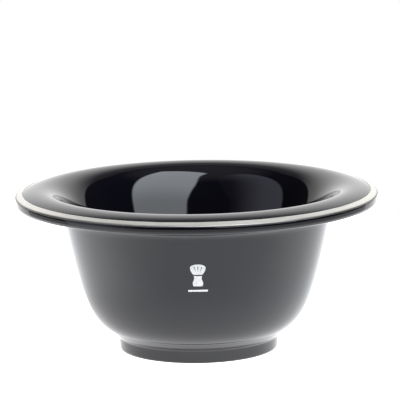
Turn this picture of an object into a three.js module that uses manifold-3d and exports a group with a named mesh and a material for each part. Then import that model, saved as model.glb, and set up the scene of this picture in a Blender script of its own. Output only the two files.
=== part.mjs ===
// A shaving bowl: one cast porcelain body with a wide rolled rim and a foot ring, a black glaze
// fired over it inside and out, a glazed foot recess, a platinum line on the lip and a small
// printed emblem on the front. Millimetres, +Z up, the front of the bowl faces -Y. The origin is
// the centre of the standing face.
import * as THREE from 'three';
import { mergeVertices } from 'three/addons/utils/BufferGeometryUtils.js';
import Module from 'manifold-3d';

// ---- Driving dimensions ----

const RIM_R = 65.0;           // outermost radius of the lip, glazed
const HEIGHT = 58.66;         // standing face to the crest of the rim, glazed
const CREST_R = 56.2;         // radius of the rim's highest circle

const LIP_Z = 54.3;           // height of the lip's outermost circle
const LIP_UNDER_R = 63.6;     // where the lip's rounded edge meets the underside of the rim
const LIP_UNDER_Z = 52.95;
const NOSE_CORNER_Z = 53.2;   // height that the rounding under the lip bulges towards
const EDGE_CORNER_Z = 55.34;  // height that the rounding over the lip bulges towards
const BAND_LOW_R = 64.87;     // lower edge of the platinum line
const BAND_LOW_Z = 55.85;
const BAND_TOP_R = 62.5;      // upper edge of the platinum line
const BAND_TOP_Z = 57.17;

const NECK_R = 47.63;         // outside of the wall where the rim starts to flare
const NECK_Z = 47.0;
const BELLY_R = 32.4;         // outside of the wall where the cove above the foot ends
const BELLY_Z = 7.71;

const BORE_R = 42.9;          // inside of the wall below the rim's roll
const BORE_Z = 46.0;
const FLOOR_R = 22.0;         // flat middle of the inside floor
const FLOOR_Z = 9.0;

// Handles that steer each long curve of the profile, as [radius, height].
const BELLY_HANDLES = [[38.02, 11.71], [41.3, 16.44]];
const FLARE_HANDLES = [[48.58, 51.5], [53.0, 52.2]];
const BAND_HANDLES = [[64.74, 56.36], [64.0, 56.44]];
const BRIM_HANDLES = [[61.2, 57.8], [58.92, HEIGHT]];
const ROLL_HANDLES = [[50.8, HEIGHT], [45.4, 54.2]];
const WALL_HANDLES = [[36.9, 24.5], [36.5, 9.3]];

const FOOT_R = 28.4;          // outside of the foot ring at the standing face
const FOOT_LEAN = 0.1;        // how far the ring has spread where the glaze starts
const FOOT_TOP_R = 28.9;      // outside of the foot ring under the cove
const FOOT_TOP_Z = 4.35;
const COVE_CORNER_R = 29.05;  // corner that the cove between foot ring and wall bulges towards
const COVE_CORNER_Z = 4.8;
const FOOT_EDGE = 0.12;       // rounding of the standing face's two edges
const FOOT_BARE = 0.15;       // height of the ring that the glaze leaves bare
const RECESS_R = 25.0;        // inside of the foot ring
const RECESS_Z = 4.6;         // depth of the recess inside the foot ring
const RECESS_FILLET = 1.8;

const GLAZE = 0.35;           // thickness of the glaze
const LAYER_GAP = 0.03;       // clearance between fired layers
const BAND = 0.12;            // thickness of the platinum line
const PRINT = 0.10;           // thickness of the printed emblem

const COLLAR_Z = 35.3;        // height on the front wall of the emblem's collar
const COLLAR_HALF = 1.5;
const TUFT_HEIGHT = 4.2;
const TUFT_HALF = 2.7;        // half the spread of the tuft
const TUFT_SHOULDER = 0.62;   // share of the tuft's height at its widest
const TUFT_SPREAD = 0.3;      // share of the height by which it has spread out
const TUFT_CROWN = 0.9;       // how square the top of the tuft is
const GAP_LOW = 0.22;         // where the blank lines in the tuft start and end, as shares of its height
const GAP_HIGH = 0.7;
const GAP_STAGGER = 0.05;     // each blank line sits this share lower than its neighbour
const GAP_FOOT = 0.42;        // how far apart the lines start and end, as shares of the half widths
const GAP_HEAD = 0.5;
const GAP_HALF = 0.16;        // half the width of a blank line's wide end
const HANDLE_HEIGHT = 3.8;
const HANDLE_BASE = 1.52;     // half the width of the handle's flat end
const HANDLE_BULGE = 2.47;    // how far the handle's lower curve reaches
const HANDLE_BULGE_Z = 1.9;   // height of that reach above the flat end
const HANDLE_WAIST = 0.68;    // how far the handle's upper curve draws in
const HANDLE_WAIST_Z = 1.6;   // depth of that waist below the collar
const EMBLEM_SPLIT = 0.45;    // blank line between tuft and handle
const BAR_Z = 29.6;           // middle of the bar under them
const BAR_WIDTH = 6.8;
const BAR_HEIGHT = 0.7;

const SEGMENTS = 48;          // facets around the bowl

// ---- Materials ----

function ceramic(color, roughness, metalness) {
  return new THREE.MeshStandardMaterial({ color, roughness, metalness });
}

const BARE_CLAY = ceramic(0xd9d4ca, 0.75, 0.0);
const BLACK_GLAZE = ceramic(0x0b0c10, 0.08, 0.0);
const PLATINUM = ceramic(0xe3e1db, 0.18, 1.0);
const WHITE_PRINT = ceramic(0xf1f1ef, 0.45, 0.0);

// ---- Profile helpers: points are (radius, height) ----

const at = (r, z) => new THREE.Vector2(r, z);

// A cubic curve through its end points, leaving and arriving along its two handles.
function bend(start, handles, end, steps) {
  const [leaving, arriving] = handles.map((handle) => at(...handle));
  return new THREE.CubicBezierCurve(start, leaving, arriving, end).getPoints(steps);
}

// A quarter-round from start to end, bulging towards the corner point.
function round(start, corner, end, steps) {
  return new THREE.QuadraticBezierCurve(start, corner, end).getPoints(steps);
}

// Joins stretches end to end, leaving out the point that two neighbours share.
function join(...stretches) {
  const line = [];
  for (const stretch of stretches) {
    for (const point of stretch) {
      const last = line[line.length - 1];
      if (!last || last.distanceTo(point) > 1e-6) {
        line.push(point);
      }
    }
  }
  return line;
}

// Moves a line sideways by a distance, to the left of its direction when the distance is positive.
function offset(line, distance) {
  return line.map((point, i) => {
    const before = line[Math.max(i - 1, 0)];
    const after = line[Math.min(i + 1, line.length - 1)];
    const along = after.clone().sub(before).normalize();
    const r = point.x < 1e-6 ? 0 : point.x - along.y * distance;
    return at(r, point.y + along.x * distance);
  });
}

// ---- The bowl's glazed surface, from the foot up the outside, over the rim and down inside ----

function outsideLine() {
  const footTop = at(FOOT_TOP_R, FOOT_TOP_Z);
  const belly = at(BELLY_R, BELLY_Z);
  const neck = at(NECK_R, NECK_Z);
  return join(
    [at(FOOT_R + FOOT_LEAN, FOOT_BARE), footTop],
    round(footTop, at(COVE_CORNER_R, COVE_CORNER_Z), belly, 4),
    bend(belly, BELLY_HANDLES, neck, 8),
    bend(neck, FLARE_HANDLES, at(LIP_UNDER_R, LIP_UNDER_Z), 7));
}

function lipLine() {
  const tip = at(RIM_R, LIP_Z);
  return join(
    round(at(LIP_UNDER_R, LIP_UNDER_Z), at(RIM_R, NOSE_CORNER_Z), tip, 3),
    round(tip, at(RIM_R, EDGE_CORNER_Z), at(BAND_LOW_R, BAND_LOW_Z), 2));
}

function bandLine() {
  return bend(at(BAND_LOW_R, BAND_LOW_Z), BAND_HANDLES, at(BAND_TOP_R, BAND_TOP_Z), 6);
}

function insideLine() {
  const crest = at(CREST_R, HEIGHT);
  const bore = at(BORE_R, BORE_Z);
  const floor = at(FLOOR_R, FLOOR_Z);
  return join(
    bend(at(BAND_TOP_R, BAND_TOP_Z), BRIM_HANDLES, crest, 3),
    bend(crest, ROLL_HANDLES, bore, 8),
    bend(bore, WALL_HANDLES, floor, 8),
    [at(0, FLOOR_Z)]);
}

// The glazed recess under the foot, from the ring's inner wall to the axis.
function recessLine() {
  const ceiling = RECESS_Z;
  const fillet = round(
    at(RECESS_R, ceiling - RECESS_FILLET), at(RECESS_R, ceiling), at(RECESS_R - RECESS_FILLET, ceiling), 3);
  return join([at(RECESS_R, FOOT_BARE)], fillet, [at(0, ceiling)]);
}

// ---- Solids ----

// Turns a profile about the bowl's axis. The profile runs so that the material is on its left.
function turned(profile) {
  return new THREE.LatheGeometry(profile, SEGMENTS).rotateX(Math.PI / 2);
}

// A skin that reaches a given depth to the left of a line. A line that ends on the axis makes a
// bowl or a disc, any other line a ring.
function skin(line, depth) {
  const loop = [...offset(line, depth).reverse(), ...line];
  if (line[line.length - 1].x > 0) {
    loop.push(loop[0].clone());
  }
  return turned(depth > 0 ? loop : loop.reverse());
}

function clayBody() {
  const depth = GLAZE + LAYER_GAP;
  const glazed = offset(join(outsideLine(), lipLine(), bandLine(), insideLine()), depth);
  const recess = offset(recessLine(), -depth).reverse();
  const inner = RECESS_R + depth;
  const outer = FOOT_R - GLAZE;
  const standing = join(
    round(at(inner, FOOT_EDGE), at(inner, 0), at(inner + FOOT_EDGE, 0), 2),
    round(at(outer - FOOT_EDGE, 0), at(outer, 0), at(outer, FOOT_EDGE), 2));
  return turned(join(recess, standing, glazed));
}

function glazeCoat() {
  return skin(join(outsideLine(), lipLine(), bandLine(), insideLine()), GLAZE);
}

function recessGlaze() {
  return skin(recessLine(), -GLAZE);
}

function platinumBand() {
  const seat = offset(bandLine(), -LAYER_GAP);
  return skin(offset(seat, -BAND), BAND);
}

// ---- The emblem: a flat shape pressed through a thin shell that follows the front wall ----

const wasm = await Module();
wasm.setup();

function toSolid(geometry) {
  const bare = geometry.clone();
  bare.deleteAttribute('normal');
  bare.deleteAttribute('uv');
  const merged = mergeVertices(bare);
  const vertProperties = merged.attributes.position.array;
  const triVerts = new Uint32Array(merged.index.array);
  return new wasm.Manifold(new wasm.Mesh({ numProp: 3, vertProperties, triVerts }));
}

function toGeometry(solid) {
  const mesh = solid.getMesh();
  const geometry = new THREE.BufferGeometry();
  geometry.setAttribute('position', new THREE.BufferAttribute(mesh.vertProperties, 3));
  geometry.setIndex(new THREE.BufferAttribute(mesh.triVerts, 1));
  return geometry;
}

// The shape's x runs across the front of the bowl and its y is the height on it.
function printed(shape) {
  const stamp = new THREE.ExtrudeGeometry(shape, { depth: RIM_R, bevelEnabled: false, curveSegments: 6 });
  stamp.rotateX(Math.PI / 2);
  const film = skin(offset(outsideLine(), -LAYER_GAP - PRINT), PRINT);
  return toGeometry(toSolid(stamp).intersect(toSolid(film)));
}

// The fan of bristles, with fine blank lines that spread from the collar.
function emblemTuft() {
  const foot = COLLAR_Z + EMBLEM_SPLIT / 2;
  const top = foot + TUFT_HEIGHT;
  const spread = foot + TUFT_HEIGHT * TUFT_SPREAD;
  const shoulder = foot + TUFT_HEIGHT * TUFT_SHOULDER;
  const crown = TUFT_HALF * TUFT_CROWN;
  const shape = new THREE.Shape();
  shape.moveTo(-COLLAR_HALF, foot);
  shape.lineTo(COLLAR_HALF, foot);
  shape.quadraticCurveTo(TUFT_HALF, spread, TUFT_HALF, shoulder);
  shape.bezierCurveTo(crown, top, -crown, top, -TUFT_HALF, shoulder);
  shape.quadraticCurveTo(-TUFT_HALF, spread, -COLLAR_HALF, foot);
  for (const lean of [-1, 0, 1]) {
    shape.holes.push(bristleGap(lean, foot));
  }
  return printed(shape);
}

// A slim blank sliver between two locks of bristles. It leans outwards with the fan.
function bristleGap(lean, foot) {
  const low = foot + TUFT_HEIGHT * (GAP_LOW - GAP_STAGGER * lean);
  const high = foot + TUFT_HEIGHT * (GAP_HIGH - GAP_STAGGER * lean);
  const headX = lean * TUFT_HALF * GAP_HEAD;
  const sliver = new THREE.Path();
  sliver.moveTo(lean * COLLAR_HALF * GAP_FOOT, low);
  sliver.lineTo(headX - GAP_HALF, high);
  sliver.lineTo(headX + GAP_HALF, high);
  sliver.closePath();
  return sliver;
}

function emblemHandle() {
  const top = COLLAR_Z - EMBLEM_SPLIT / 2;
  const bottom = top - HANDLE_HEIGHT;
  const bulgeZ = bottom + HANDLE_BULGE_Z;
  const waistZ = top - HANDLE_WAIST_Z;
  const shape = new THREE.Shape();
  shape.moveTo(-HANDLE_BASE, bottom);
  shape.lineTo(HANDLE_BASE, bottom);
  shape.bezierCurveTo(HANDLE_BULGE, bulgeZ, HANDLE_WAIST, waistZ, COLLAR_HALF, top);
  shape.lineTo(-COLLAR_HALF, top);
  shape.bezierCurveTo(-HANDLE_WAIST, waistZ, -HANDLE_BULGE, bulgeZ, -HANDLE_BASE, bottom);
  return printed(shape);
}

function emblemBar() {
  const shape = new THREE.Shape();
  const halfWidth = BAR_WIDTH / 2;
  const halfHeight = BAR_HEIGHT / 2;
  shape.moveTo(-halfWidth, BAR_Z - halfHeight);
  shape.lineTo(halfWidth, BAR_Z - halfHeight);
  shape.lineTo(halfWidth, BAR_Z + halfHeight);
  shape.lineTo(-halfWidth, BAR_Z + halfHeight);
  shape.closePath();
  return printed(shape);
}

// ---- The assembled bowl ----

function node(name, geometry, material) {
  const mesh = new THREE.Mesh(geometry, material);
  mesh.name = name;
  return mesh;
}

const bowl = new THREE.Group();
bowl.add(
  node('clay_body', clayBody(), BARE_CLAY),
  node('glaze_coat', glazeCoat(), BLACK_GLAZE),
  node('recess_glaze', recessGlaze(), BLACK_GLAZE),
  node('platinum_band', platinumBand(), PLATINUM),
  node('emblem_tuft', emblemTuft(), WHITE_PRINT),
  node('emblem_handle', emblemHandle(), WHITE_PRINT),
  node('emblem_bar', emblemBar(), WHITE_PRINT));

export default bowl;
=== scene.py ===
import math
import random

import bmesh
import bpy
from mathutils import Matrix, Vector
from mathutils.geometry import tessellate_polygon


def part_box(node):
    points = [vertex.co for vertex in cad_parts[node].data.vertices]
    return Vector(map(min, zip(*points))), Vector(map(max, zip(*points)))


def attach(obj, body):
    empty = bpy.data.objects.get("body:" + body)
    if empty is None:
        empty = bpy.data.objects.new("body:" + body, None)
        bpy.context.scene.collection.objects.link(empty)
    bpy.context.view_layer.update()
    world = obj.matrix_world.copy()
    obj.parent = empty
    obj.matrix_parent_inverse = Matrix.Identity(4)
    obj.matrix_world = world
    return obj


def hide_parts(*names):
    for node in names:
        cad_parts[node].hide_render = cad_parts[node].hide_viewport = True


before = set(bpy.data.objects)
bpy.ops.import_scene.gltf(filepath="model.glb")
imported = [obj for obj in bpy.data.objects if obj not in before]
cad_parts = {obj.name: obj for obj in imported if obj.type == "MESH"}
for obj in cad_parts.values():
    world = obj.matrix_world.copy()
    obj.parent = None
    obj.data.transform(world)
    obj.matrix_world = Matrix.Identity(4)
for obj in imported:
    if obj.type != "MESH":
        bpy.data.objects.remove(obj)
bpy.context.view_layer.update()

random.seed(7)
MM = 0.001

# ---- Driving dimensions, in millimetres: (radius, height) ----

low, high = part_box("glaze_coat")
RIM_R = high.x / MM
HEIGHT = high.z / MM
CREST = (56.2, HEIGHT)
LIP = (RIM_R, 54.3)
LIP_UNDER = (63.6, 52.95)
NOSE_CORNER = (RIM_R, 53.2)
EDGE_CORNER = (RIM_R, 55.34)
BAND_LOW = (64.87, 55.85)
BAND_TOP = (62.5, 57.17)
NECK = (47.63, 47.0)
BELLY = (32.4, 7.71)
BORE = (42.9, 46.0)
FLOOR = (22.0, 9.0)
FOOT = (28.5, 0.15)
FOOT_LEAN = 0.1
FOOT_TOP = (28.9, 4.35)
COVE_CORNER = (29.05, 4.8)
FOOT_EDGE = 0.12
RECESS_R = 25.0
RECESS_Z = 4.6
RECESS_FILLET = 1.8
GLAZE = 0.35
LAYER_GAP = 0.03
BAND = 0.12
PRINT = 0.10

# Handles that steer the long curves of the profile.
BELLY_HANDLES = ((38.02, 11.71), (41.3, 16.44))
FLARE_HANDLES = ((48.58, 51.5), (53.0, 52.2))
BAND_HANDLES = ((64.74, 56.36), (64.0, 56.44))
BRIM_HANDLES = ((61.2, 57.8), (58.92, HEIGHT))
ROLL_HANDLES = ((50.8, HEIGHT), (45.4, 54.2))
WALL_HANDLES = ((36.9, 24.5), (36.5, 9.3))

# How finely the curves are cut.
SEGMENTS = 220
FOOT_STEPS = 6
COVE_STEPS = 12
EDGE_STEPS = 8
BAND_STEPS = 12


# ---- Profile helpers, the same curves as the CAD in finer steps ----

def bend(a, handles, d, steps):
    """A cubic curve through its end points, leaving and arriving along its two handles."""
    b, c = handles
    line = []
    for i in range(steps + 1):
        t = i / steps
        s = 1 - t
        weights = (s**3, 3 * s * s * t, 3 * s * t * t, t**3)
        line.append(tuple(sum(w * p[k] for w, p in zip(weights, (a, b, c, d))) for k in (0, 1)))
    return line


def round_off(a, b, c, steps):
    """A rounding from a to c that bulges towards the corner b."""
    line = []
    for i in range(steps + 1):
        t = i / steps
        s = 1 - t
        line.append(tuple(s * s * a[k] + 2 * s * t * b[k] + t * t * c[k] for k in (0, 1)))
    return line


def join(*stretches):
    """Joins stretches end to end, leaving out the point that two neighbours share."""
    line = []
    for stretch in stretches:
        for p in stretch:
            if not line or math.dist(line[-1], p) > 1e-6:
                line.append(p)
    return line


def offset(line, distance):
    """Moves a line sideways, to the left of its direction when the distance is positive."""
    moved = []
    for i, p in enumerate(line):
        a = line[max(i - 1, 0)]
        b = line[min(i + 1, len(line) - 1)]
        length = math.dist(a, b)
        dr = (b[0] - a[0]) / length
        dz = (b[1] - a[1]) / length
        r = 0.0 if p[0] < 1e-6 else p[0] - dz * distance
        moved.append((r, p[1] + dr * distance))
    return moved


def straight(a, b, steps):
    return [tuple(a[k] + (b[k] - a[k]) * i / steps for k in (0, 1)) for i in range(steps + 1)]


def outside_line():
    wall = straight(FOOT, FOOT_TOP, FOOT_STEPS)
    cove = round_off(FOOT_TOP, COVE_CORNER, BELLY, COVE_STEPS)
    belly = bend(BELLY, BELLY_HANDLES, NECK, 44)
    flare = bend(NECK, FLARE_HANDLES, LIP_UNDER, 32)
    return join(wall, cove, belly, flare)


def lip_line():
    nose = round_off(LIP_UNDER, NOSE_CORNER, LIP, 12)
    edge = round_off(LIP, EDGE_CORNER, BAND_LOW, EDGE_STEPS)
    return join(nose, edge)


def band_line():
    return bend(BAND_LOW, BAND_HANDLES, BAND_TOP, BAND_STEPS)


def inside_line():
    brim = bend(BAND_TOP, BRIM_HANDLES, CREST, 20)
    roll = bend(CREST, ROLL_HANDLES, BORE, 32)
    wall = bend(BORE, WALL_HANDLES, FLOOR, 40)
    return join(brim, roll, wall, straight(FLOOR, (0.0, FLOOR[1]), 6))


def recess_line():
    start = (RECESS_R, RECESS_Z - RECESS_FILLET)
    end = (RECESS_R - RECESS_FILLET, RECESS_Z)
    fillet = round_off(start, (RECESS_R, RECESS_Z), end, 10)
    return join([(RECESS_R, FOOT[1])], fillet, straight(fillet[-1], (0.0, RECESS_Z), 5))


def glazed_line():
    return join(outside_line(), lip_line(), band_line(), inside_line())


# ---- Meshes ----

def add_mesh(name, verts, faces, material):
    mesh = bpy.data.meshes.new(name)
    mesh.from_pydata([(x * MM, y * MM, z * MM) for x, y, z in verts], [], faces)
    mesh.validate()
    for polygon in mesh.polygons:
        polygon.use_smooth = True
    mesh.materials.append(material)
    obj = bpy.data.objects.new(name, mesh)
    bpy.context.scene.collection.objects.link(obj)
    return obj


def turned(name, profile, material):
    """Turns a profile with the material on its left, closed or with both ends on the axis."""
    closed = math.dist(profile[0], profile[-1]) < 1e-6
    rows = profile[:-1] if closed else profile
    verts = []
    rings = []
    for r, z in rows:
        if r < 1e-6:
            rings.append([len(verts)] * SEGMENTS)
            verts.append((0.0, 0.0, z))
            continue
        rings.append([len(verts) + k for k in range(SEGMENTS)])
        for k in range(SEGMENTS):
            a = 2 * math.pi * k / SEGMENTS
            verts.append((r * math.sin(a), -r * math.cos(a), z))
    faces = []
    following = rings[1:] + rings[:1] if closed else rings[1:]
    for lower, upper in zip(rings, following):
        for k in range(SEGMENTS):
            n = (k + 1) % SEGMENTS
            corners = []
            for v in (lower[k], lower[n], upper[n], upper[k]):
                if v not in corners:
                    corners.append(v)
            if len(corners) > 2:
                faces.append(corners)
    return add_mesh(name, verts, faces, material)


def skin(name, line, depth, material):
    """A skin that reaches a given depth to the left of a line, or to its right when negative."""
    loop = list(reversed(offset(line, depth))) + line
    if line[-1][0] > 0:
        loop.append(loop[0])
    if depth < 0:
        loop.reverse()
    return turned(name, loop, material)


# ---- Materials ----

class Nodes:
    """Adds nodes to one material or world and links them."""

    def __init__(self, owner):
        owner.use_nodes = True
        self.tree = owner.node_tree
        self.tree.nodes.clear()

    def add(self, kind, inputs=None, **settings):
        node = self.tree.nodes.new(kind)
        for key, value in settings.items():
            setattr(node, key, value)
        for key, value in (inputs or {}).items():
            socket = node.inputs[key]
            if isinstance(value, bpy.types.NodeSocket):
                self.tree.links.new(value, socket)
            else:
                socket.default_value = value
        return node

    def math(self, operation, a, b=0.0, c=0.0):
        return self.add("ShaderNodeMath", {0: a, 1: b, 2: c}, operation=operation).outputs[0]

    def ramp(self, value, low, high, to_low=0.0, to_high=1.0):
        """Goes smoothly from to_low to to_high while the value goes from low to high."""
        inputs = {"Value": value, "From Min": low, "From Max": high, "To Min": to_low, "To Max": to_high}
        return self.add("ShaderNodeMapRange", inputs, interpolation_type="SMOOTHSTEP").outputs["Result"]

    def noise(self, vector, scale, detail=2.0, roughness=0.5):
        inputs = {"Vector": vector, "Scale": scale, "Detail": detail, "Roughness": roughness}
        return self.add("ShaderNodeTexNoise", inputs).outputs["Fac"]

    def blend(self, a, b, share):
        """Two noises mixed, with the given share of the first."""
        return self.math("MULTIPLY_ADD", a, share, self.math("MULTIPLY", b, 1 - share))

    def two_tones(self, value, low, low_color, high, high_color):
        node = self.add("ShaderNodeValToRGB", {"Fac": value})
        first, last = node.color_ramp.elements
        first.position, first.color = low, (*low_color, 1)
        last.position, last.color = high, (*high_color, 1)
        return node.outputs["Color"]

    def bump(self, height, strength, distance):
        inputs = {"Strength": strength, "Distance": distance, "Height": height}
        return self.add("ShaderNodeBump", inputs).outputs["Normal"]

    def surface(self, inputs):
        shader = self.add("ShaderNodeBsdfPrincipled", inputs)
        self.add("ShaderNodeOutputMaterial", {"Surface": shader.outputs["BSDF"]})


def product(n, *values):
    result = values[0]
    for value in values[1:]:
        result = n.math("MULTIPLY", result, value)
    return result


def total(n, *values):
    result = values[0]
    for value in values[1:]:
        result = n.math("ADD", result, value)
    return result


def tinted(n, strength, tone):
    scaled = n.add("ShaderNodeVectorMath", {0: tone, "Scale": strength}, operation="SCALE")
    return scaled.outputs["Vector"]


def new_material(name):
    """A new material with its nodes and the place on the object that the patterns follow."""
    material = bpy.data.materials.new(name)
    n = Nodes(material)
    return material, n, n.add("ShaderNodeTexCoord").outputs["Object"]


def glaze_material(name):
    material, n, place = new_material(name)
    peel = n.noise(place, 260.0, 1.0)
    slow = n.noise(place, 55.0)
    cloud = n.noise(place, 90.0, 4.0, 0.6)
    haze = n.noise(place, 140.0, 5.0, 0.65)
    n.surface({
        "Base Color": n.two_tones(cloud, 0.3, (0.0016, 0.0015, 0.0038), 0.75, (0.0030, 0.0027, 0.0060)),
        "Roughness": n.ramp(haze, 0.3, 0.75, 0.02, 0.05),
        "IOR": 1.55,
        "Normal": n.bump(n.math("MULTIPLY_ADD", slow, 1.6, peel), 0.06, 0.00004)})
    return material


def platinum_material(name):
    """Brushed lustre, with painted shade that darkens the line's lower edge."""
    material, n, place = new_material(name)
    brush = n.noise(place, 700.0, 4.0, 0.6)
    patch = n.noise(place, 70.0, 3.0, 0.6)
    tone = n.two_tones(patch, 0.3, (0.91, 0.88, 0.82), 0.7, (0.97, 0.95, 0.90))
    height = n.add("ShaderNodeSeparateXYZ", {0: place}).outputs["Z"]
    # Painted shade: the colour falls to a tenth along the line's lower edge, where the key light would
    # show in it.
    painted_shade_low_edge = n.ramp(height, 0.0560, 0.0566, 0.1, 1.0)
    n.surface({
        "Base Color": tinted(n, painted_shade_low_edge, tone),
        "Metallic": 1.0,
        "Roughness": n.ramp(n.blend(patch, brush, 0.7), 0.3, 0.7, 0.38, 0.48),
        "Normal": n.bump(brush, 0.15, 0.00002)})
    return material


def porcelain_material(name):
    material, n, place = new_material(name)
    grain = n.noise(place, 1800.0, 5.0, 0.7)
    cloud = n.noise(place, 160.0, 4.0, 0.6)
    mottle = n.blend(grain, cloud, 0.5)
    n.surface({
        "Base Color": n.two_tones(mottle, 0.3, (0.52, 0.48, 0.42), 0.7, (0.70, 0.67, 0.61)),
        "Roughness": n.ramp(cloud, 0.3, 0.7, 0.62, 0.82),
        "Normal": n.bump(grain, 0.4, 0.00006)})
    return material


def print_material(name):
    material, n, place = new_material(name)
    speckle = n.noise(place, 2600.0, 3.0, 0.7)
    cloud = n.noise(place, 420.0, 3.0, 0.6)
    mottle = n.blend(speckle, cloud, 0.6)
    n.surface({
        "Base Color": n.two_tones(mottle, 0.3, (0.62, 0.62, 0.61), 0.65, (0.86, 0.86, 0.85)),
        "Roughness": n.ramp(cloud, 0.3, 0.7, 0.35, 0.5),
        "Normal": n.bump(speckle, 0.3, 0.00003)})
    return material


black_glaze = glaze_material("black_glaze")
platinum = platinum_material("platinum")
bare_porcelain = porcelain_material("bare_porcelain")
white_print = print_material("white_print")


# ---- The pieces ----

def finish_piece(obj, node):
    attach(obj, "root")
    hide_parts(node)


def porcelain_body():
    depth = GLAZE + LAYER_GAP
    glazed = offset(glazed_line(), depth)
    recess = list(reversed(offset(recess_line(), -depth)))
    inner = RECESS_R + depth
    outer = FOOT[0] - FOOT_LEAN - GLAZE
    standing = join(
        round_off((inner, FOOT_EDGE), (inner, 0.0), (inner + FOOT_EDGE, 0.0), 6),
        straight((inner + FOOT_EDGE, 0.0), (outer - FOOT_EDGE, 0.0), 3),
        round_off((outer - FOOT_EDGE, 0.0), (outer, 0.0), (outer, FOOT_EDGE), 6))
    return turned("porcelain_body", join(recess, standing, glazed), bare_porcelain)


def point_along(path, lengths, reach):
    """The point at a distance along a path, given the distances of its own points."""
    i = next((i for i in range(len(path) - 2) if reach <= lengths[i + 1]), len(path) - 2)
    t = (reach - lengths[i]) / (lengths[i + 1] - lengths[i])
    return tuple(path[i][k] + (path[i + 1][k] - path[i][k]) * t for k in (0, 1))


LINE_SEGMENTS = 360
LINE_STEPS = 14
LINE_MARGIN = 0.04       # how far the line reaches past each edge of the bevel
LINE_WAVER = (0.01, 0.03)
WAVES_AROUND = (3, 5, 8, 13, 21, 34)


def platinum_line():
    """The hand-brushed line on the lip. Its two edges wander a little."""
    waves = []
    for count in WAVES_AROUND:
        for _ in ("lower edge", "upper edge"):
            waves.append((random.uniform(0, 2 * math.pi), random.uniform(*LINE_WAVER), count))
    before = lip_line()[-5:]
    path = join(before, band_line(), inside_line()[:4])
    lengths = [0.0]
    for a, b in zip(path, path[1:]):
        lengths.append(lengths[-1] + math.dist(a, b))
    bevel_start = lengths[len(before) - 1]
    bevel_end = lengths[len(before) - 1 + BAND_STEPS]

    verts = []
    for k in range(LINE_SEGMENTS):
        angle = 2 * math.pi * k / LINE_SEGMENTS
        lower, upper = (
            sum(size * math.sin(count * angle + phase) for phase, size, count in waves[edge::2])
            for edge in (0, 1))
        start = bevel_start + lower - LINE_MARGIN
        end = bevel_end + upper + LINE_MARGIN
        reaches = [start + (end - start) * i / LINE_STEPS for i in range(LINE_STEPS + 1)]
        line = [point_along(path, lengths, reach) for reach in reaches]
        front = offset(line, -LAYER_GAP - BAND)[1:-1]
        back = offset(line, -LAYER_GAP)
        for r, z in front + back[::-1]:
            verts.append((r * math.sin(angle), -r * math.cos(angle), z))
    count = len(verts) // LINE_SEGMENTS
    faces = []
    for k in range(LINE_SEGMENTS):
        n = (k + 1) % LINE_SEGMENTS
        for i in range(count):
            j = (i + 1) % count
            faces.append((k * count + i, n * count + i, n * count + j, k * count + j))
    return add_mesh("platinum_line", verts, faces, platinum)


def wall_radius(z, line):
    for a, b in zip(line, line[1:]):
        if a[1] <= z <= b[1]:
            return a[0] + (b[0] - a[0]) * (z - a[1]) / (b[1] - a[1])
    return line[-1][0]


PRINT_CELL = 0.35        # how finely a flat shape is cut so that it can follow the wall


def cut_up(bm, points):
    """Cuts a flat shape into cells, across and up."""
    for axis in (Vector((1, 0, 0)), Vector((0, 0, 1))):
        cut = min(p.dot(axis) for p in points) + PRINT_CELL
        end = max(p.dot(axis) for p in points)
        while cut < end:
            everything = bm.verts[:] + bm.edges[:] + bm.faces[:]
            bmesh.ops.bisect_plane(bm, geom=everything, plane_co=axis * cut, plane_no=axis)
            cut += PRINT_CELL


def printed(name, outlines):
    """A flat shape, x across the front and y the height, laid on the front wall as a thin print."""
    wall = outside_line()[FOOT_STEPS + COVE_STEPS:]
    back = offset(wall, -LAYER_GAP)
    front = offset(wall, -LAYER_GAP - PRINT)
    bm = bmesh.new()
    flat = [[Vector((x, 0, z)) for x, z in outline] for outline in outlines]
    points = [p for outline in flat for p in outline]
    verts = [bm.verts.new(p) for p in points]
    for tri in tessellate_polygon(flat):
        bm.faces.new([verts[i] for i in tri])
    cut_up(bm, points)
    result = bmesh.ops.extrude_face_region(bm, geom=bm.faces[:])
    raised = {v for v in result["geom"] if isinstance(v, bmesh.types.BMVert)}
    for v in bm.verts:
        r = wall_radius(v.co.z, front if v in raised else back)
        v.co = Vector((v.co.x, -math.sqrt(r * r - v.co.x**2), v.co.z)) * MM
    bmesh.ops.recalc_face_normals(bm, faces=bm.faces[:])
    mesh = bpy.data.meshes.new(name)
    bm.to_mesh(mesh)
    bm.free()
    mesh.materials.append(white_print)
    obj = bpy.data.objects.new(name, mesh)
    bpy.context.scene.collection.objects.link(obj)
    return obj


COLLAR_Z = 35.3          # height on the front wall of the emblem's collar
COLLAR_HALF = 1.5
EMBLEM_SPLIT = 0.45      # blank line between tuft and handle
TUFT_HEIGHT = 4.2
TUFT_HALF = 2.7
TUFT_SHOULDER = 0.62     # share of the tuft's height at its widest
TUFT_SPREAD = 0.3        # share of the height by which it has spread out
TUFT_CROWN = 0.9         # how square the top of the tuft is
GAP_LOW = 0.22           # where the blank lines in the tuft start and end, as shares of its height
GAP_HIGH = 0.7
GAP_LOW_STAGGER = 0.05   # each blank line sits lower than its neighbour by these shares
GAP_HIGH_STAGGER = 0.04
GAP_FOOT = 0.42          # how far apart the lines start and end, as shares of the half widths
GAP_HEAD = 0.5
GAP_HALF = 0.16
HANDLE_HEIGHT = 3.8
HANDLE_BASE = 1.52       # half the width of the handle's flat end
HANDLE_BULGE = 2.47      # how far the handle's lower curve reaches
HANDLE_BULGE_Z = 1.9
HANDLE_WAIST = 0.675     # how far the handle's upper curve draws in
HANDLE_WAIST_Z = 1.6
BAR_Z = 29.6
BAR_WIDTH = 6.8
BAR_HEIGHT = 0.7


def mirrored(line):
    return [(-x, z) for x, z in reversed(line)]


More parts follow.
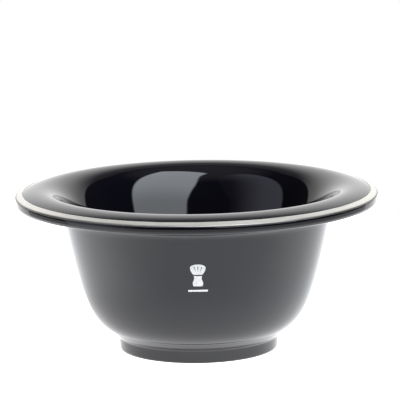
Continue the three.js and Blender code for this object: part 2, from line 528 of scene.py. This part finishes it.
def emblem_tuft():
    foot = COLLAR_Z + EMBLEM_SPLIT / 2
    top = foot + TUFT_HEIGHT
    spread = (TUFT_HALF, foot + TUFT_HEIGHT * TUFT_SPREAD)
    shoulder = (TUFT_HALF, foot + TUFT_HEIGHT * TUFT_SHOULDER)
    crown = TUFT_HALF * TUFT_CROWN
    edge = round_off((COLLAR_HALF, foot), spread, shoulder, 10)
    over = bend(shoulder, ((crown, top), (-crown, top)), (-shoulder[0], shoulder[1]), 20)
    outlines = [join(edge, over, mirrored(edge))]
    for lean in (-1, 0, 1):
        low_z = foot + TUFT_HEIGHT * (GAP_LOW - GAP_LOW_STAGGER * lean)
        high_z = foot + TUFT_HEIGHT * (GAP_HIGH - GAP_HIGH_STAGGER * lean)
        x = lean * TUFT_HALF * GAP_HEAD
        tip = (lean * COLLAR_HALF * GAP_FOOT, low_z)
        outlines.append([tip, (x - GAP_HALF, high_z), (x + GAP_HALF, high_z)])
    return printed("emblem_bristles", outlines)


def emblem_handle():
    top = COLLAR_Z - EMBLEM_SPLIT / 2
    bottom = top - HANDLE_HEIGHT
    handles = ((HANDLE_BULGE, bottom + HANDLE_BULGE_Z), (HANDLE_WAIST, top - HANDLE_WAIST_Z))
    side = bend((HANDLE_BASE, bottom), handles, (COLLAR_HALF, top), 16)
    return printed("emblem_grip", [join(side, mirrored(side))])


def emblem_bar():
    w = BAR_WIDTH / 2
    bottom = BAR_Z - BAR_HEIGHT / 2
    top = BAR_Z + BAR_HEIGHT / 2
    return printed("emblem_rule", [[(-w, bottom), (w, bottom), (w, top), (-w, top)]])


finish_piece(porcelain_body(), "clay_body")
finish_piece(skin("outer_glaze", glazed_line(), GLAZE, black_glaze), "glaze_coat")
finish_piece(skin("foot_glaze", recess_line(), -GLAZE, black_glaze), "recess_glaze")
finish_piece(platinum_line(), "platinum_band")
finish_piece(emblem_tuft(), "emblem_tuft")
finish_piece(emblem_handle(), "emblem_handle")
finish_piece(emblem_bar(), "emblem_bar")


# ---- Floor ----

FLOOR_RADIUS = 260.0
FLOOR_SEGMENTS = 128


def floor_material():
    """A pale floor with painted glow, brighter round the foot and to the left, and less towards the
    front.
    """
    material, n, place = new_material("studio_floor")
    xyz = n.add("ShaderNodeSeparateXYZ", {0: place})
    reach = n.add("ShaderNodeVectorMath", {0: place}, operation="LENGTH").outputs["Value"]
    # Painted light and shade: the floor's glow is raised round the foot and to the left, and lowered
    # towards the front and farther out in front.
    painted_glow_round_foot = n.ramp(reach, 0.035, 0.075, 0.4, 0.0)
    side = n.ramp(xyz.outputs["X"], -0.1, -0.03, 0.25, 0.0)
    front = n.ramp(xyz.outputs["Y"], -0.085, -0.02, 0.35, 0.0)
    far = n.ramp(xyz.outputs["Y"], -0.24, -0.15, 0.6, 0.0)
    glow = n.math("SUBTRACT", n.math("SUBTRACT", total(n, painted_glow_round_foot, side, 1.0), front), far)
    cloud = n.noise(place, 30.0, 3.0)
    n.surface({
        "Base Color": n.two_tones(cloud, 0.0, (0.84, 0.84, 0.84), 1.0, (0.88, 0.88, 0.88)),
        "Roughness": 0.8,
        "Emission Color": (1, 1, 1, 1),
        "Emission Strength": glow})
    return material


def floor_disc():
    angles = [2 * math.pi * k / FLOOR_SEGMENTS for k in range(FLOOR_SEGMENTS)]
    verts = [(FLOOR_RADIUS * math.sin(a), -FLOOR_RADIUS * math.cos(a), 0.0) for a in angles]
    floor = add_mesh("studio_floor", verts, [list(range(FLOOR_SEGMENTS))], floor_material())


# ---- Studio light ----

def direction(azimuth, elevation):
    """Towards an azimuth, counted from the front to the right, and an elevation, in degrees."""
    a, e = math.radians(azimuth), math.radians(elevation)
    return Vector((math.sin(a) * math.cos(e), -math.cos(a) * math.cos(e), math.sin(e)))


def dot(n, a, b):
    return n.add("ShaderNodeVectorMath", {0: a, 1: b}, operation="DOT_PRODUCT").outputs["Value"]


def panel(n, ray, azimuth, elevation):
    """How far a direction is across and up a panel, and whether the panel is in front of it."""
    centre = direction(azimuth, elevation)
    across = Vector((math.cos(math.radians(azimuth)), math.sin(math.radians(azimuth)), 0))
    up = across.cross(centre) * -1
    if up.z < 0:
        up = -up
    depth = dot(n, ray, centre)
    safe = n.math("MAXIMUM", depth, 0.001)
    a = n.math("DIVIDE", dot(n, ray, across), safe)
    b = n.math("DIVIDE", dot(n, ray, up), safe)
    return a, b, n.math("GREATER_THAN", depth, 0.001)


def window(n, value, low_edge, high_edge, soft):
    """One between two edges and zero outside them, each edge being soft."""
    return n.math("MULTIPLY", n.ramp(value, low_edge - soft, low_edge + soft),
                  n.ramp(value, high_edge - soft, high_edge + soft, 1.0, 0.0))


def key_light(n, ray):
    """A tall softbox at the front right. Its left edge leans in towards the top."""
    a, b, ahead = panel(n, ray, 38.5, 25.0)
    left_edge = n.ramp(b, 0.5, 1.4, -0.50, -0.37)
    left = n.ramp(n.math("SUBTRACT", a, left_edge), -0.03, 0.03)
    right = n.ramp(a, 0.475, 0.535, 1.0, 0.0)
    return product(n, left, right, window(n, b, -0.3, 1.8, 0.08), ahead, n.ramp(b, -0.2, 0.6, 2.6, 4.2))


def fill_light(n, ray):
    """A weak panel with round corners at the front left. It fades to the right."""
    a, b, ahead = panel(n, ray, -64.0, 22.0)
    across = n.math("POWER", n.math("ABSOLUTE", n.math("DIVIDE", a, 0.54)), 2.6)
    upward = n.math("POWER", n.math("ABSOLUTE", n.math("DIVIDE", b, 1.12)), 2.6)
    shape = n.ramp(n.math("ADD", across, upward), 0.85, 1.15, 1.0, 0.0)
    fade = n.ramp(n.math("MULTIPLY_ADD", b, 0.25, a), -0.2, 0.53, 0.60, 0.04)
    return product(n, shape, ahead, fade)


def back_light(n, ray):
    """A wide wall of light behind the bowl. It fades upwards and towards its sides."""
    a, b, ahead = panel(n, ray, 180.0, 0.0)
    shape = product(n, window(n, a, -1.12, 1.12, 0.06), window(n, b, -0.6, 1.9, 0.2))
    sideways = n.ramp(n.math("ABSOLUTE", a), 0.1, 1.0, 1.35, 0.7)
    return product(n, shape, ahead, n.ramp(b, 0.55, 1.35, 1.0, 0.2), sideways)


def studio_world():
    """The studio as the bowl reflects it. The camera itself sees plain white behind the bowl."""
    world = bpy.data.worlds.new("studio")
    bpy.context.scene.world = world
    n = Nodes(world)
    ray = n.add("ShaderNodeTexCoord").outputs["Generated"]
    up = n.add("ShaderNodeSeparateXYZ", {0: ray}).outputs["Z"]
    ceiling = n.ramp(up, 0.8, 0.98, 0.03, 0.24)
    ground = n.ramp(up, -0.12, -0.02, 0.8, 0.0)
    colour = tinted(n, total(n, ceiling, back_light(n, ray), ground), (1.0, 1.0, 1.0))
    for lamp, tone in ((key_light, (0.95, 1.0, 1.06)), (fill_light, (0.95, 0.97, 1.18))):
        added = tinted(n, lamp(n, ray), tone)
        colour = n.add("ShaderNodeVectorMath", {0: colour, 1: added}).outputs["Vector"]
    light = n.add("ShaderNodeBackground", {"Color": colour, "Strength": 1.0})
    plain = n.add("ShaderNodeBackground", {"Color": (1, 1, 1, 1), "Strength": 1.0})
    seen = n.add("ShaderNodeLightPath").outputs["Is Camera Ray"]
    mix = n.add("ShaderNodeMixShader", {0: seen, 1: light.outputs[0], 2: plain.outputs[0]})
    n.add("ShaderNodeOutputWorld", {"Surface": mix.outputs[0]})


# ---- Camera ----

IMAGE_WIDTH = 400            # pixels
FOCAL = 2769.8               # pixels
TARGET = (196.64, 272.2)     # where the target shows in the image, in pixels
TARGET_Z = 27.0
ELEVATION = 11.783           # degrees
ROLL = -0.93


def studio_camera():
    data = bpy.data.cameras.new("camera")
    camera = bpy.data.objects.new("camera", data)
    bpy.context.scene.collection.objects.link(camera)
    data.sensor_width = 36.0
    data.lens = FOCAL / IMAGE_WIDTH * data.sensor_width
    data.clip_start = 0.01
    data.clip_end = 20.0
    elevation = math.radians(ELEVATION)
    location = Vector((0, -math.cos(elevation), TARGET_Z * MM + math.sin(elevation)))
    turns = (
        (math.pi / 2 - elevation, "X"),
        (math.atan((TARGET[1] - IMAGE_WIDTH / 2) / FOCAL), "X"),
        (math.atan((TARGET[0] - IMAGE_WIDTH / 2) / FOCAL), "Y"),
        (math.radians(ROLL), "Z"))
    placed = Matrix.Translation(location)
    for angle, axis in turns:
        placed = placed @ Matrix.Rotation(angle, 4, axis)
    camera.matrix_world = placed
    bpy.context.scene.camera = camera


floor_disc()
studio_world()
studio_camera()
bpy.context.scene.view_settings.view_transform = "Standard"
bpy.context.scene.view_settings.look = "None"
